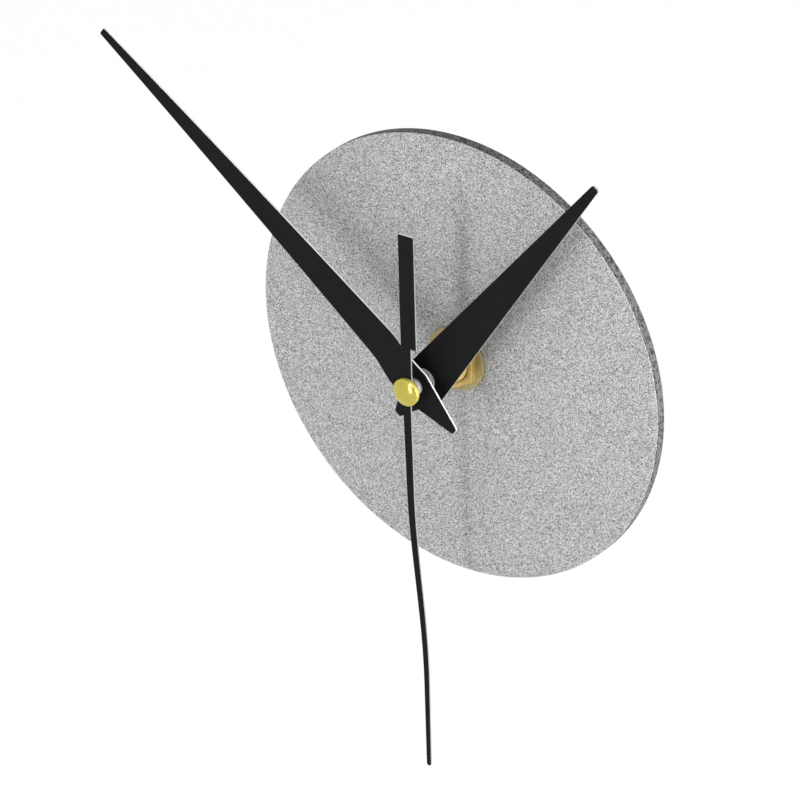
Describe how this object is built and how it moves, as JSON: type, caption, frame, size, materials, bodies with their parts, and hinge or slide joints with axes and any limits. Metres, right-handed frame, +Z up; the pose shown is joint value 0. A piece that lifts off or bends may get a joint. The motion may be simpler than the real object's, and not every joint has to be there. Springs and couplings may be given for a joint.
{
  "type": "quartz wall clock",
  "caption": "Wall clock with a small round metallic disc, long black kite-shaped hands, a slim second hand and a battery quartz movement behind the disc.",
  "frame": {"origin": "on the hands' axis at the wall plane, which is the back of the movement", "axes": "+Z up to 12 o'clock, +Y into the wall, -Y out of the front, +X to the viewer's right"},
  "size_m": [0.1572, 0.0431, 0.1785],
  "materials": {
    "disc_metal": "satin metal flake",
    "black_rubber": "matte",
    "brass": "polished",
    "hand_black": "satin black",
    "white_plastic": "moulded",
    "gold": "polished gold",
    "case_plastic": "moulded black",
    "steel": "stamped",
    "copper": "enamelled copper wire",
    "gear_plastic": "moulded",
    "knob_plastic": "moulded",
    "board": "glass-fibre board",
    "epoxy": "gloss",
    "plated_steel": "nickel plated",
    "cell_wrap": "plain wrapped cell"
  },
  "bodies": {
    "root": {"dial_disc": "disc_metal", "rubber_washer": "black_rubber", "brass_washer": "brass", "hex_nut": "brass", "threaded_bushing": "brass", "movement_case": "case_plastic", "back_cover": "case_plastic", "gear_bridge": "white_plastic", "stator": "steel", "coil_core": "steel", "coil_bobbin": "white_plastic", "coil_winding": "copper", "circuit_board": "board", "quartz_crystal": "steel", "driver_chip": "epoxy", "contact_positive": "plated_steel", "contact_negative": "plated_steel", "battery_cell": "cell_wrap"},
    "second_train": {"second_wheel": "gear_plastic", "second_hand": "hand_black", "second_hand_tube": "brass", "hand_cap": "gold"},
    "rotor": {"rotor": "gear_plastic"},
    "intermediate": {"intermediate_wheel": "gear_plastic"},
    "third": {"third_wheel": "gear_plastic"},
    "centre": {"centre_wheel": "gear_plastic"},
    "minute_train": {"minute_pipe": "gear_plastic", "minute_hand": "hand_black", "minute_hand_collet": "white_plastic"},
    "motion_work": {"motion_work_wheel": "gear_plastic"},
    "hour_train": {"hour_wheel": "gear_plastic", "hour_hand": "hand_black", "hour_hand_collet": "white_plastic"},
    "knob": {"setting_knob": "knob_plastic"}
  },
  "joints": [
    {"name": "second_spin", "type": "hinge", "parent": "root", "child": "second_train", "pos_m": [0, -0.02, 0], "axis": [0, 1, 0], "continuous": true},
    {"name": "rotor_spin", "type": "hinge", "parent": "root", "child": "rotor", "pos_m": [0.00307, -0.006, 0.016], "axis": [0, 1, 0], "continuous": true},
    {"name": "intermediate_spin", "type": "hinge", "parent": "root", "child": "intermediate", "pos_m": [-0.00259, -0.006, 0.00966], "axis": [0, 1, 0], "continuous": true},
    {"name": "third_spin", "type": "hinge", "parent": "root", "child": "third", "pos_m": [0.00927, -0.006, 0.00337], "axis": [0, 1, 0], "continuous": true},
    {"name": "centre_spin", "type": "hinge", "parent": "root", "child": "centre", "pos_m": [0, -0.0097, 0], "axis": [0, 1, 0], "continuous": true},
    {"name": "minute_spin", "type": "hinge", "parent": "root", "child": "minute_train", "pos_m": [0, -0.02, 0], "axis": [0, 1, 0], "continuous": true},
    {"name": "motion_work_spin", "type": "hinge", "parent": "root", "child": "motion_work", "pos_m": [-0.009, -0.013, 0], "axis": [0, 1, 0], "continuous": true},
    {"name": "hour_spin", "type": "hinge", "parent": "root", "child": "hour_train", "pos_m": [0, -0.02, 0], "axis": [0, 1, 0], "continuous": true},
    {"name": "knob_spin", "type": "hinge", "parent": "root", "child": "knob", "pos_m": [-0.01755, -0.008, 0], "axis": [0, 1, 0], "continuous": true}
  ],
  "couplings": [
    {"joint": "rotor_spin", "follows": "second_spin", "ratio": 30},
    {"joint": "intermediate_spin", "follows": "second_spin", "ratio": -4},
    {"joint": "third_spin", "follows": "second_spin", "ratio": -0.13333},
    {"joint": "centre_spin", "follows": "second_spin", "ratio": 0.016667},
    {"joint": "motion_work_spin", "follows": "minute_spin", "ratio": -0.33333},
    {"joint": "hour_spin", "follows": "minute_spin", "ratio": 0.083333},
    {"joint": "knob_spin", "follows": "minute_spin", "ratio": 1.25}
  ]
}
